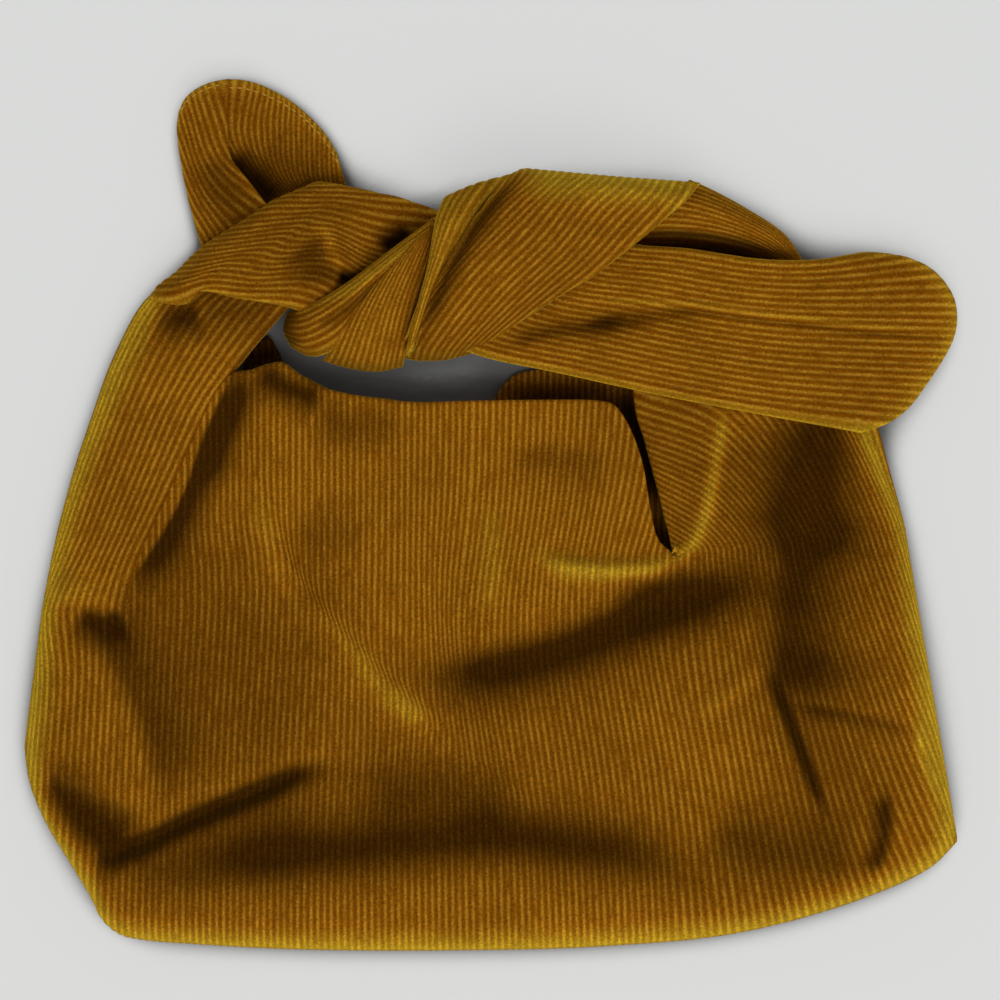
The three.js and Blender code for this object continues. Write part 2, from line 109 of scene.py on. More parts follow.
# Each fold: its height, its tone (painted shade where negative, painted highlight where positive), how
# far it spreads to its left and right, and its line. Folds of no height are painted shade or highlight
# alone.
FRONT_FOLDS = [
    (-6.5, -0.9, 10, 6, [(-139.5, -76.1), (-129, -84.2), (-117, -94.1), (-105, -101.9)]),
    (-5.5, -0.8, 2, 2.5, [
        (-121.5, -106.7), (-107.1, -99.2), (-90, -90.5), (-72, -83), (-53.1, -75.2), (-43.5, -74.9),
    ]),
    (0, -0.3, 2, 14, [(-121.5, -106.7), (-107.1, -99.2), (-72, -83), (-48, -77.6)]),
    (3.0, 0.2, 5, 2, [(-135, -74.3), (-119.4, -80.3), (-107.4, -85.7), (-101.4, -88.7)]),
    (3.5, 0.05, 14, 6, [(-132, -61.1), (-118.5, -73.1), (-105, -80.9), (-97.5, -79.1)]),
    (-5.0, -0.75, 2.5, 5, [(-123.6, -27.5), (-119.4, -30.2), (-114.6, -31.4), (-109.5, -28.7)]),
    (-3.5, -0.5, 10, 2.5, [(-120, -30.5), (-110.4, -43.1), (-100.5, -64.1), (-95.4, -85.1)]),
    (0, -0.37, 22, 18, [(-97.5, -1.1), (-87, -31.1), (-72, -52.1), (-48, -68.6)]),
    # Painted shadow beside the left strap's inner edge, where it stands over the lip.
    (0, -0.5, 5, 1, [(-73.2, 43.3), (-77.4, 31.9), (-82.2, 19.9), (-85.8, 7.9)]),
    (0, -0.95, 5, 0.8, [
        (-72.6, 51.4), (-79.2, 36.4), (-85.2, 22.9), (-90.9, 6.4), (-98.1, -7.1), (-111, -25.1),
    ]),
    (2.0, -0.05, 8, 9, [(-114, -116.6), (-81, -112.1), (-48, -112.1), (-21, -116.6)]),
    (-3.5, -0.6, 7, 6, [
        (-114, -112.1), (-81, -103.7), (-41.1, -99.5), (-0.9, -95.9), (39, -100.1), (59.1, -106.7),
        (84, -113.6),
    ]),
    (-2.5, -0.35, 8, 7, [(-42, -85.1), (-24, -80.3), (-9, -80.9), (12, -86.9)]),
    (-4.5, -0.85, 4.5, 7, [
        (-28.5, -49.7), (-0.9, -45.2), (18.9, -39.5), (39, -31.7), (59.1, -25.1), (84, -23.9),
    ]),
    (0, -0.22, 7, 15, [(-18, -52.1), (21, -45.5), (60, -34.1), (87, -37.1)]),
    (-2.5, -0.5, 4, 6, [(33, -28.1), (51, -19.7), (67.5, -17.6), (90, -20.6)]),
    (-3.0, -0.75, 13, 9, [(99.6, 37.9), (97.5, 19.9), (95.4, 4.9), (93, -13.1)]),
    (-3.0, -0.65, 16, 5, [(96.6, 7.9), (91.5, -19.1), (88.8, -37.1), (90, -59.6)]),
    (0, -0.45, 14, 12, [(73.5, 28.9), (79.5, 4.9), (78, -19.1)]),
    (0, -0.4, 18, 12, [(93, -31.1), (94.5, -61.1), (100.5, -85.1), (105, -103.1)]),
    (0, -0.28, 19, 12, [(-102, -100.1), (-42, -95.6), (9, -96.5), (69, -103.1)]),
    (-2.5, -0.8, 1.2, 1.2, [(82.5, -45.5), (86.4, -53.6), (90.9, -65), (100.2, -88.7)]),
    (-1.0, -0.35, 1, 2, [(88.8, -56.3), (105, -58.7), (128.4, -64.1)]),
    (2.0, 0.2, 4, 1.5, [(60, -59.9), (73.5, -52.1), (86.4, -41.6)]),
    (-2.5, -0.6, 8, 7, [(63, -86.6), (81, -99.5), (99, -101.6), (117, -99.5)]),
    (-2.5, -0.7, 1.5, 3, [(117.6, -80.6), (118.2, -94.1), (114, -109.1)]),
    (1.5, 0.5, 1.5, 1.5, [(127.2, -59.6), (129.6, -71.6), (134.4, -83.6)]),
    (2.0, 0.15, 3, 4, [(126.6, -19.1), (132, -52.1), (135.3, -82.1)]),
    (-1.5, -0.9, 3, 4, [(-70.5, 45.1), (-60, 38.5), (-48, 35.5)]),
    (-1.5, -0.4, 4, 5, [(-52.5, 31.9), (-42, 27.4), (-25.5, 29.5)]),
    (0, -0.3, 3, 5, [(3, 12.7), (16.5, 18.4), (37.5, 13.3)]),
    (0.8, 0.2, 2.5, 2.5, [(0, 4.9), (0.6, -13.1), (-0.6, -31.1)]),
    (0, -0.3, 5, 5, [(-58.5, -9.5), (-48, -4.1), (-36, -9.5)]),
    # Painted highlight along the ridge at the bottom of the slit and up its side.
    (4.0, 0.75, 2, 2, [(13.5, -11.3), (21.6, -14.9), (33, -16.1), (48, -15.8), (57.6, -11.9)]),
    (0.8, 0.7, 1.6, 1.6, [
        (51, -15.2), (60, -9.2), (63.9, -1.1), (66.6, 10.9), (68.7, 22.9), (69.9, 34.9),
    ]),
    (1.5, 0.25, 4, 3, [(-70.5, 7.9), (-64.5, -13.1), (-55.5, -25.1)]),
    (2.4, 0.35, 5, 3, [(-55.5, -22.1), (-42, -37.1), (-31.5, -51.5), (-24.6, -56.9), (-13.5, -65.9)]),
    (0, 0.2, 3, 3, [(-31.5, -52.1), (-25.5, -56.9), (-18.6, -61.1)]),
    (-2.0, -0.2, 5, 4, [(-61.5, -1.1), (-51, -22.1), (-34.5, -38.6), (-21, -52.1)]),
    (3.5, 0.3, 7, 2, [(-132, -20.6), (-123, -25.7), (-115.5, -27.2), (-109.2, -24.2)]),
    # Painted shade on the strap's top, under the lower edge of the turn.
    (0, -0.8, 3, 5, [(-100.5, 61.3), (-94.5, 59.2), (-85.5, 61.3)]),
    (0, -0.35, 3, 6, [(-88.5, 63.1), (-75, 61.3), (-60, 58.9)]),
    (0, -0.1, 14, 14, [(-97.5, 37.9), (-112.5, 7.9), (-120, -16.1)]),
    (0, -0.15, 10, 10, [(45, 31.9), (54, 16.9), (60, 4.9)]),
]
# Painted shade goes no darker than this tone.
DEEPEST = -0.9
FOLD_ENDS = 0.25
FOLD_LEAST = 0.15
# Painted highlight on the cloth rolled down to the seam: its strength, how it fades towards the top of
# the roll and how soon it rises from the seam.
RIM_HIGHLIGHT = 1.5
RIM_FADE = 0.85
RIM_START = 2.5
# Where the ribs are pulled sideways, written as the folds are.
FRONT_SHEARS = [
    (3.0, 0, 3, 26, [(-68.4, 4.9), (-61.5, -19.1), (-46.5, -37.1), (-30, -53.6), (-9, -68.6)]),
    (-6.0, 0, 24, 28, [(-18, -46.1), (9, -38.6), (33, -32.6), (69, -20.6)]),
]
FAN_FROM = 97
FAN_CLOSE = 0.15
FAN_OPEN = 0.003
STRAP_FIT = 0.98
STRAP_FIT_ABOVE = 0.12
STRAP_FIT_OVER = 45
PINCH = 0.16
PINCH_OVER = 14
CORNER_RIGHT = 15.6
CORNER_RIGHT_POWER = 2.5
CORNER_LEFT = 5.1
CORNER_LEFT_POWER = 4
BODY_SHARES = (0, 0.25, 0.5, 0.75, 0.9, 0.97, 1)
FINE_STEPS = 260
SHORTEST = 1e-3
TINY = 1e-9


def spline(points, fine=24):
    """A fine polyline along the smooth curve through the points."""
    points = np.asarray(points, float)
    ends = 2 * points[0] - points[1], 2 * points[-1] - points[-2]
    line = np.vstack([ends[0], points, ends[1]])
    share = np.linspace(0, 1, fine, endpoint=False)[:, None]
    runs = []
    for p0, p1, p2, p3 in zip(line, line[1:], line[2:], line[3:]):
        gaps = (p0, p1), (p1, p2), (p2, p3)
        steps = [max(np.linalg.norm(q - p) ** 0.5, SHORTEST) for p, q in gaps]
        t1, t2, t3 = np.cumsum(steps)
        t = t1 + share * (t2 - t1)
        a1 = (p0 * (t1 - t) + p1 * t) / t1
        a2 = (p1 * (t2 - t) + p2 * (t - t1)) / (t2 - t1)
        a3 = (p2 * (t3 - t) + p3 * (t - t2)) / (t3 - t2)
        b1 = (a1 * (t2 - t) + a2 * t) / t2
        b2 = (a2 * (t3 - t) + a3 * (t - t1)) / (t3 - t1)
        runs.append((b1 * (t2 - t) + b2 * (t - t1)) / (t2 - t1))
    runs.append(points[-1:])
    return np.vstack(runs)


def reach(line):
    """Distance along a polyline at each of its points."""
    steps = np.linalg.norm(np.diff(line, axis=0), axis=1)
    return np.concatenate([[0], np.cumsum(steps)])


def even(line, steps):
    """The same polyline in equal steps."""
    far = reach(line)
    wanted = np.linspace(0, far[-1], steps + 1)
    return np.stack([np.interp(wanted, far, values) for values in line.T], axis=1)


def lookup(rows):
    """The curve through rows whose first column is what the rest is looked up by."""
    line = spline(rows)
    return lambda key: np.stack([np.interp(key, line[:, 0], values) for values in line.T[1:]], axis=-1)


def folded(x, y, folds):
    """What the folds add, as height and as painted tone, shade where negative and highlight where
    positive: each is a ridge or a valley along a few points, or a line of painted tone alone, whose
    two sides fall away over different distances, the left one first."""
    total = np.zeros((2, *x.shape))
    for height, tone, above, below, points in folds:
        line = spline(points, fine=3)
        far = reach(line)
        near = np.full(x.shape, np.inf)
        at = np.zeros_like(x)
        side = np.zeros_like(x)
        for k in range(len(line) - 1):
            step = line[k + 1] - line[k]
            share = ((x - line[k, 0]) * step[0] + (y - line[k, 1]) * step[1]) / (step @ step)
            share = np.clip(share, 0, 1)
            gap = (x - line[k, 0] - share * step[0]) ** 2 + (y - line[k, 1] - share * step[1]) ** 2
            closer = gap < near
            near = np.where(closer, gap, near)
            turn = step[0] * (y - line[k, 1]) - step[1] * (x - line[k, 0])
            side = np.where(closer, turn / np.linalg.norm(step), side)
            at = np.where(closer, (far[k] + share * (far[k + 1] - far[k])) / far[-1], at)
        ends = np.clip(np.minimum(at, 1 - at) / FOLD_ENDS, 0, 1)
        full = FOLD_LEAST + (1 - FOLD_LEAST) * ends * ends * (3 - 2 * ends)
        spread = np.where(side > 0, above, below)
        share = full * np.exp(-near / (2 * spread**2))
        total += np.stack([height * share, tone * share])
    return total


def inset(length, radius):
    """How far in a length of cloth reaches once it has rolled over an edge."""
    quarter = radius * math.pi / 2
    if length < quarter:
        return radius * (1 - math.cos(length / radius))
    return radius + length - quarter


def rise(length, radius):
    """Share of the full height that a length of cloth has reached on rolling over an edge."""
    return math.sin(min(length / radius, math.pi / 2))


def along_line(x):
    """How far x is along the line that the straps rise from, as a share of its length."""
    return (x - LINE_LEFT[0]) / (LINE_RIGHT[0] - LINE_LEFT[0])


def line_y(x):
    """Where that line passes, seen from above."""
    return LINE_LEFT[1] + along_line(x) * (LINE_RIGHT[1] - LINE_LEFT[1])


bottom_y = lookup(BOTTOM)
front_height = lookup(FRONT_HEIGHTS)


def on_line(n):
    """Where rib n crosses the line that the straps rise from."""
    left = n * RIB
    right = (ALL_RIBS - n) * RIB
    x = LINE_LEFT[0] + inset(left, ROLL) if left < right else LINE_RIGHT[0] - inset(right, ROLL)
    return np.array([x, line_y(x)])


def on_bottom(n):
    """Where rib n meets the seam along the bottom, whose corners stand out past the line."""
    x = on_line(n)[0]
    share = along_line(x)
    x += CORNER_RIGHT * share**CORNER_RIGHT_POWER - CORNER_LEFT * (1 - share) ** CORNER_LEFT_POWER
    return np.array([x, bottom_y(x)[0]])


def lifted(n):
    """Share of the full height at rib n, which is 0 at the side seams."""
    return rise(n * RIB, ROLL) * rise((ALL_RIBS - n) * RIB, ROLL)


def at_height(point):
    """A point of the front at the height that the cloth has there without its folds."""
    return [*point, front_height(point[1] - line_y(point[0]))[0]]


def body_path(n):
    """Rib n on the body, from the bottom seam to the line."""
    low, high = on_bottom(n), on_line(n)
    return [at_height(low + share * (high - low)) for share in BODY_SHARES]


def rib_at(n, x, y):
    """The rib under a point of the front: the ribs fan out on the right, and on the left
    fewer of them fit across the strap where it narrows at its root."""
    above = y - line_y(x)
    if n < LEFT_RIBS:
        fit = STRAP_FIT + STRAP_FIT_ABOVE * np.clip(above / STRAP_FIT_OVER, 0, 1)
        fit = fit - PINCH * np.exp(-((above / PINCH_OVER) ** 2))
        return LEFT_RIBS - (LEFT_RIBS - n) * fit
    return n + max(0, n - FAN_FROM) * (FAN_CLOSE + FAN_OPEN * np.minimum(above, 0))


def rolled(x, line):
    """Share of the full height along a line that starts at the bottom seam at x, where the
    cloth rolls over."""
    slope = abs(bottom_y(x + 1)[0] - bottom_y(x - 1)[0]) / 2
    radius = ROLL * min(math.hypot(1, slope), WIDEST_ROLL)
    return np.sin(np.arccos(np.clip(1 - reach(line) / radius, 0, 1)))


def front_column(n, path, rows):
    """One rib of the front, rolled over at the bottom and moved by the folds, with their painted shade
    and highlight and a painted highlight on the roll.
    """
    line = even(spline(path), FINE_STEPS)
    x, y, z = line.T
    x = x + folded(x, y, FRONT_SHEARS)[0]
    height, tone = folded(x, y, FRONT_FOLDS)
    share = rolled(x[0], line[:, :2]) * lifted(n)
    z = SEAM_HEIGHT + (z + height - SEAM_HEIGHT) * share
    rim_highlight = RIM_HIGHLIGHT * (1 - share) ** RIM_FADE * np.minimum(RIM_START * share, 1)
    tone = np.maximum(tone, DEEPEST) * share + rim_highlight
    return even(np.stack([x, y, z, tone, rib_at(n, x, y)], axis=1), rows)


RIB_POINTS = (0, 0.18, 0.5, 0.82)


def rib_numbers(first, count):
    """The places across some ribs at which points are set, counted in ribs."""
    return [first + k + point for k in range(count) for point in RIB_POINTS] + [first + count]


def cloth(name, columns, thickness=CLOTH):
    """A ribbed cloth from columns of points with their painted shade or highlight and rib, lined
    underneath.
    """
    grid = np.array(columns)
    tones = grid[:, :, 3]
    ribs = grid[:, :, 4]
    grid = grid[:, :, :3]
    normal = np.cross(np.gradient(grid, axis=0), np.gradient(grid, axis=1))
    normal /= np.maximum(np.linalg.norm(normal, axis=2, keepdims=True), TINY)
    swell = np.sqrt(np.abs(np.sin(np.pi * ribs)))
    grid = grid + normal * (RIB_HEIGHT * swell)[:, :, None]
    along = np.array([reach(column[:, :3]) for column in columns]) / RIB
    across, up = grid.shape[0] - 1, grid.shape[1] - 1
    half = 0.5
    bm = bmesh.new()
    bmesh.ops.create_grid(bm, x_segments=across, y_segments=up, size=half)
    places = {}
    mark = bm.verts.layers.int.new("place")
    painted_tone = bm.verts.layers.float.new("painted_tone")
    for vert in bm.verts:
        i = round((vert.co.x + half) * across)
        j = round((vert.co.y + half) * up)
        places[vert.index] = (i, j)
        vert[mark] = vert.index
        vert[painted_tone] = tones[i, j]
        vert.co = grid[i, j] * MM
    layer = bm.loops.layers.uv.new("ribs")
    for face in bm.faces:
        face.smooth = True
        for loop in face.loops:
            i, j = places[loop.vert.index]
            loop[layer].uv = (ribs[i, j], along[i, j])
    outside = bm.faces[:]
    made = bmesh.ops.extrude_face_region(bm, geom=outside, use_keep_orig=True)["geom"]
    for vert in [item for item in made if isinstance(item, bmesh.types.BMVert)]:
        i, j = places[vert[mark]]
        vert.co = (grid[i, j] - normal[i, j] * thickness) * MM
    inside = [item for item in made if isinstance(item, bmesh.types.BMFace)]
    bmesh.ops.reverse_faces(bm, faces=inside)
    bmesh.ops.recalc_face_normals(bm, faces=bm.faces[:])
    for face in bm.faces:
        face.smooth = True
    mesh = bpy.data.meshes.new(name)
    bm.to_mesh(mesh)
    bm.free()
    piece = bpy.data.objects.new(name, mesh)
    bpy.context.collection.objects.link(piece)
    return piece


def node(tree, kind, inputs=None, **settings):
    """A shader node with its settings and its inputs: a value, or another node's output."""
    made = tree.nodes.new(kind)
    for key, value in settings.items():
        setattr(made, key, value)
    for key, value in (inputs or {}).items():
        if isinstance(value, bpy.types.NodeSocket):
            tree.links.new(value, made.inputs[key])
        else:
            made.inputs[key].default_value = value
    return made


def math_node(tree, operation, *values):
    """A sum, a product or the like of some values."""
    return node(tree, "ShaderNodeMath", dict(enumerate(values)), operation=operation).outputs[0]


def mixed(tree, share, first, second):
    """A colour between two others."""
    inputs = {0: share, 6: first, 7: second}
    return node(tree, "ShaderNodeMix", inputs, data_type="RGBA").outputs[2]


def scaled(tree, colour, factor):
    """A colour made darker or brighter."""
    inputs = {0: colour, "Scale": factor}
    return node(tree, "ShaderNodeVectorMath", inputs, operation="SCALE").outputs[0]


# How the pile answers to its noise, its ribs and the painted shade and highlight of its folds: a pair
# is a factor and a sum.
WANDER = (0.16, -0.08)
HALF_WAVE = (0.5, 0.5)
UNEVEN = (3.2, -0.6)
RIB_POWER = 1.8
SHADE_FLATTENS = (0.6, 1.0)
FLATTEST = 0.3
BLOTCHED = (0.5, 0.75)
SPECKLED = (1.7, 0.15)
SHADE_DARKENS = (0.9, 1.0)
DARKEST = 0.04
HIGHLIGHT_MOST = 0.85
RIDGED = (0.5, 0.8)


def corduroy(name, pile, groove, highlight_gold):
    """Ribs of cut pile with a golden sheen at a grazing angle; painted shade darkens them and painted
    highlight turns them golden, as the cloth's painted tone gives.
    """
    material = bpy.data.materials.new(name)
    material.use_nodes = True
    tree = material.node_tree
    shader = tree.nodes["Principled BSDF"]
    uv = node(tree, "ShaderNodeUVMap", uv_map="ribs").outputs[0]
    axes = node(tree, "ShaderNodeSeparateXYZ", {0: uv})
    place = node(tree, "ShaderNodeTexCoord").outputs["Object"]
    blotch = node(tree, "ShaderNodeTexNoise", {"Vector": place, "Scale": 45.0, "Detail": 4.0})
    tuft = node(tree, "ShaderNodeTexNoise", {"Vector": place, "Scale": 1400.0, "Detail": 3.0})
    wobble = math_node(tree, "MULTIPLY_ADD", tuft.outputs[0], *WANDER)
    turns = math_node(tree, "MULTIPLY", math_node(tree, "ADD", axes.outputs[0], wobble), 2 * math.pi)
    wave = math_node(tree, "MULTIPLY_ADD", math_node(tree, "COSINE", turns), *HALF_WAVE)
    apart = node(tree, "ShaderNodeMapping", {"Vector": uv, "Scale": (1.0, 0.25, 1.0)}).outputs[0]
    patches = {"Vector": apart, "Scale": 1.1, "Detail": 4.0}
    uneven = node(tree, "ShaderNodeTexNoise", patches).outputs[0]
    strength = math_node(tree, "MULTIPLY_ADD", uneven, *UNEVEN)
    thread = math_node(tree, "MULTIPLY", math_node(tree, "POWER", wave, RIB_POWER), strength)
    painted_tone = node(tree, "ShaderNodeAttribute", attribute_name="painted_tone").outputs["Fac"]
    # Painted shade darkens the colour and flattens the ribs; painted highlight turns it golden.
    painted_shade = math_node(tree, "MINIMUM", painted_tone, 0.0)
    flat = math_node(tree, "MAXIMUM", math_node(tree, "MULTIPLY_ADD", painted_shade, *SHADE_FLATTENS), FLATTEST)
    colour = mixed(tree, math_node(tree, "MULTIPLY", thread, flat), pile, groove)
    mottle = math_node(tree, "MULTIPLY_ADD", blotch.outputs[0], *BLOTCHED)
    speck = math_node(tree, "MULTIPLY_ADD", tuft.outputs[0], *SPECKLED)
    shaded = math_node(tree, "MAXIMUM", math_node(tree, "MULTIPLY_ADD", painted_shade, *SHADE_DARKENS), DARKEST)
    tone = math_node(tree, "MULTIPLY", math_node(tree, "MULTIPLY", mottle, speck), shaded)
    painted_highlight = math_node(tree, "MINIMUM", math_node(tree, "MAXIMUM", painted_tone, 0.0), 1.0)
    lit = math_node(tree, "MULTIPLY", painted_highlight, HIGHLIGHT_MOST)
    gold = scaled(tree, highlight_gold, math_node(tree, "MULTIPLY_ADD", thread, *RIDGED))
    toned = scaled(tree, mixed(tree, lit, colour, gold), tone)
    fuzz = {"Strength": 0.35, "Distance": 0.0004, "Height": tuft.outputs[0]}
    bump = node(tree, "ShaderNodeBump", fuzz)
    tree.links.new(toned, shader.inputs["Base Color"])
    tree.links.new(bump.outputs[0], shader.inputs["Normal"])
    shader.inputs["Roughness"].default_value = 0.95
    shader.inputs["Specular IOR Level"].default_value = 0.02
    shader.inputs["Sheen Weight"].default_value = 0.35
    shader.inputs["Sheen Roughness"].default_value = 0.35
    shader.inputs["Sheen Tint"].default_value = (1.0, 0.7, 0.04, 1)
    return material


OUTER = corduroy(
    "corduroy",
    pile=(0.218, 0.066, 0.0006, 1),
    groove=(0.43, 0.195, 0.013, 1),
    highlight_gold=(0.6, 0.37, 0.018),
)
FRONT_ROWS = 128
LIP_LEAN = 0.0015
LIP_SHARES = (0.33, 0.67, 1)
lip_y = lookup(LIP)


def middle_path(n):
    """Rib n from the bottom seam to the edge of the lip, which leans out on the right."""
    low = on_line(n)
    lean = LIP_LEAN * max(low[0], 0) * (lip_y(low[0])[0] - low[1])
    high = np.array([low[0] + lean, lip_y(low[0] + lean)[0]])
    return body_path(n) + [at_height(low + share * (high - low)) for share in LIP_SHARES]


numbers = rib_numbers(LEFT_RIBS, MIDDLE_RIBS)
front_columns = [front_column(n, middle_path(n), FRONT_ROWS) for n in numbers]
front = cloth("front_and_lip", front_columns)
front.data.materials.append(OUTER)


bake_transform(front)
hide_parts("front_panel", "front_lining", "front_lip", "front_lip_lining")

# Left strap: the same cloth carries on past the line, folds over the lip and leans in
# towards the knot. Its inner edge is a soft fold that stands clear of the lip.
LEFT_ROWS = 190
CURL_FROM = 0.86
CURL_DROP = 2.4
# Up the strap: its outer and its inner edge, and how far it crowns between them.
LEFT_STRAP = [
    ([(-132.9, -20.6, 15), (-105.6, -13.7, 19)], 1),
    ([(-130.2, -7.1, 14), (-99, 0.4, 18.5)], 1.5),
    ([(-125.1, 12.4, 14), (-90.6, 18.4, 18.5)], 2),
    ([(-119.7, 28.9, 14), (-82.8, 34.3, 18)], 2),
    ([(-112.5, 48.4, 13), (-72, 48.7, 17)], 2),
    ([(-102.9, 65.2, 11), (-62.4, 60.1, 14)], 1.5),
    ([(-93.6, 71.2, 9), (-55.5, 67.9, 12)], 1),
]


def left_path(n):
    """Rib n from the bottom seam up the left strap, whose inner edge curls under."""
    share = on_line(n)[0] - LINE_LEFT[0]
    share /= on_line(LEFT_RIBS)[0] - LINE_LEFT[0]
    path = body_path(n)
    for (outer, inner), crown in LEFT_STRAP:
        point = np.array(outer) + share * (np.array(inner) - np.array(outer))
        curl = max(0, share - CURL_FROM) / (1 - CURL_FROM)
        point[2] += crown * 4 * share * (1 - share) - CURL_DROP * curl**2
        path.append(point)
    return path


numbers = rib_numbers(0, LEFT_RIBS)
left_columns = [front_column(n, left_path(n), LEFT_ROWS) for n in numbers]
left = cloth("left_strap_cloth", left_columns)
left.data.materials.append(OUTER)
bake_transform(left)
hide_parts("left_strap", "left_strap_lining")

# Right strap: it twists as it rises, so the cloth beside the slit of the mouth turns up into a ridge,
# made bright with painted highlight, and the ribs run off at the slit's edge on the slope inside it.
RIGHT_ROWS = 150
RIDGE = [
    (0, 58.2, -11.9, 21),
    (0.12, 62.7, -7.1, 22),
    (0.25, 65.7, 1.3, 22),
    (0.4, 68.1, 13.3, 21.5),
    (0.5, 69.6, 22.9, 20),
    (0.62, 74.4, 34.9, 18),
    (0.8, 93, 39.4, 16),
    (1, 118.2, 19.9, 15),
]
SLIT_EDGE = [
    (0, 57, -11, 19),
    (0.12, 54, -1.1, 14.5),
    (0.25, 50.4, 10.3, 13.5),
    (0.4, 46.5, 22.9, 13),
    (0.5, 43.5, 33.4, 12.5),
    (0.62, 45, 49.9, 12),
    (0.8, 73.5, 57.4, 12),
    (1, 110.4, 49.9, 13),
]
on_ridge = lookup(RIDGE)
on_slit = lookup(SLIT_EDGE)


def right_path(n):
    """Rib n from the bottom seam over the ridge to the slit's edge."""
    share = (n - LEFT_RIBS - MIDDLE_RIBS) / RIGHT_RIBS
    return body_path(n) + [on_ridge(share), on_slit(share)]


numbers = rib_numbers(LEFT_RIBS + MIDDLE_RIBS, RIGHT_RIBS)
right_columns = [front_column(n, right_path(n), RIGHT_ROWS) for n in numbers]
right = cloth("right_strap_cloth", right_columns)
right.data.materials.append(OUTER)
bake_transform(right)
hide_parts("right_strap", "right_strap_lining")

# Back of the bag with its own lip: flat on the table, turned up to the seam all round,
# and seen only inside the mouth and where its lip shows past the front one.
BACK_LIP = [
    (-134.4, -28.7),
    (-113.4, -26.3),
    (-106.5, -19.1),
    (-97.5, -5.6),
    (-85.5, 18.4),
    (-78.6, 34.9),
    (-73.5, 46.3),
    (-69.6, 51.1),
    (-66.6, 53.5),
    (-64.2, 50.2),
    (-60.9, 44.2),
    (-54, 38.5),
    (-43.5, 34.3),
    (-21, 32.5),
    (0, 33.7),
    (3.6, 38.5),
    (7.2, 41.8),
    (12, 43.3),
    (21, 43.9),
    (33, 43.6),
    (46.5, 40.9),
    (51.6, 22.9),
    (55.8, 0.4),
    (58.2, -9.5),
    (124.5, -4.1),
]
# Painted shade on the back: near black inside the mouth at the right, dark in the pocket by the left
# strap, and a shadow under the front lip's edge.
BACK_SHADE = [
    (0, -1.05, 5, 4.5, [(34.8, 42.1), (38.4, 37.3), (43.5, 27.4), (48, 13.9), (52.5, -1.1)]),
    (0, -0.8, 7, 7, [(-75, 37.9), (-68.4, 49.9), (-66.6, 51.4), (-64.2, 40.9)]),
    (0, -0.7, 2, 2, [(3, 34.3), (15, 35.8), (33, 35.5)]),
]
BACK_HEIGHT = 1.0
BACK_CLOTH = 1.0
BACK_ROWS = 90
BACK_FINE_STEPS = 500
BACK_RIB_POINTS = 3
LIP_EDGE = 0.5
back_lip_y = lookup(BACK_LIP)


def back_column(n, rows):
    """One rib of the back, from the bottom seam along the table to the edge of its lip."""
    low, line = on_bottom(n), on_line(n)
    high = np.array([line[0], max(back_lip_y(line[0])[0], line[1])])
    path = even(spline([low, (low + line) / 2, line, high + (0, LIP_EDGE)]), BACK_FINE_STEPS)
    z = SEAM_HEIGHT + (BACK_HEIGHT - SEAM_HEIGHT) * rolled(low[0], path) * lifted(n)
    tone = folded(path[:, 0], path[:, 1], BACK_SHADE)[1]
    return even(np.column_stack([path, z, tone, np.full_like(z, n)]), rows)


numbers = [n / BACK_RIB_POINTS for n in range(BACK_RIB_POINTS * ALL_RIBS, -1, -1)]
back_columns = [back_column(n, BACK_ROWS) for n in numbers]
back = cloth("back_and_lip", back_columns, BACK_CLOTH)
back.data.materials.append(OUTER)
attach(back, "bag_body")
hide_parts("back_panel", "back_lining")

# Left strap after its turn at the shoulder: a broad band that runs into the knot. Its
# lower edge stands off the strap below it, and its cloth bunches where the knot grips it.
# Cross sections from one end to the other: a share of the way across, and the point there.
TURN = [
    [
        (0, -51.6, 100.6, 9),
        (0.2, -66.6, 94, 8),
        (0.4, -78.6, 86.2, 8),
        (0.6, -87.6, 79.9, 8),
        (0.8, -94.2, 73.3, 9),
        (0.92, -99.6, 69.1, 10),
        (1, -102.3, 65.5, 11),
    ],
    [
        (0, -49.2, 100, 12),
        (0.2, -62.7, 93.7, 14),
        (0.4, -73.8, 85.9, 15),
        (0.6, -82.5, 79.3, 16),
        (0.8, -89.4, 72.7, 17),
        (0.92, -94.2, 68.2, 17.5),
        (1, -96.6, 63.7, 17),
    ],
    [(0, -43.5, 99.1, 14), (0.5, -68.4, 82.9, 18), (0.92, -86.7, 69.7, 18.5), (1, -90.6, 63.7, 18.5)],
    [(0, -41.1, 98.5, 14.5), (0.5, -62.4, 82.9, 19), (0.92, -82.2, 69.7, 19), (1, -87, 67.3, 18.5)],
    [(0, -38.4, 97.9, 15), (0.3, -51.6, 88.3, 18.5), (0.6, -63, 78.4, 19.5), (1, -75, 65.2, 19)],
    [(0, -33, 96.7, 15.5), (0.3, -45.6, 86.5, 20), (0.6, -47.7, 77.8, 20.5), (1, -62.1, 63.1, 18.5)],
    [(0, -26.4, 95.2, 15.5), (0.3, -35.4, 81.1, 17.5), (0.6, -38.4, 71.8, 17.5), (1, -51.6, 59.5, 16)],
    [(0, -13.5, 90.7, 15), (0.3, -21.6, 75.7, 15.5), (0.6, -25.5, 66.7, 15.5), (1, -37.5, 54.4, 15)],
]
# Folds of the turn, with painted highlight on its ridge and painted shade in its valleys.
TURN_FOLDS = [
    (1.5, 0.45, 1.5, 1.5, [(-51.6, 89.5), (-48, 82.9), (-46.8, 77.8), (-43.2, 74.8), (-37.8, 72.1)]),
    (-2.0, -0.5, 5, 6, [(-57, 82.9), (-52.2, 76.3), (-51.6, 68.5)]),
    (-2.5, -0.85, 2.5, 2.5, [(-46.2, 72.4), (-42, 71.2), (-37.2, 69.1)]),
    (-3.0, -0.85, 3, 3, [(-33, 79.3), (-28.2, 82.3), (-22.8, 85.3)]),
]
HEM = 1.2
HEM_RIBS = 1.2
# Painted highlight along a band's turned-under edges.
HEM_HIGHLIGHT = 0.35
END_REACH = 3.0
FLAT = ((0, 0), (1, 0))


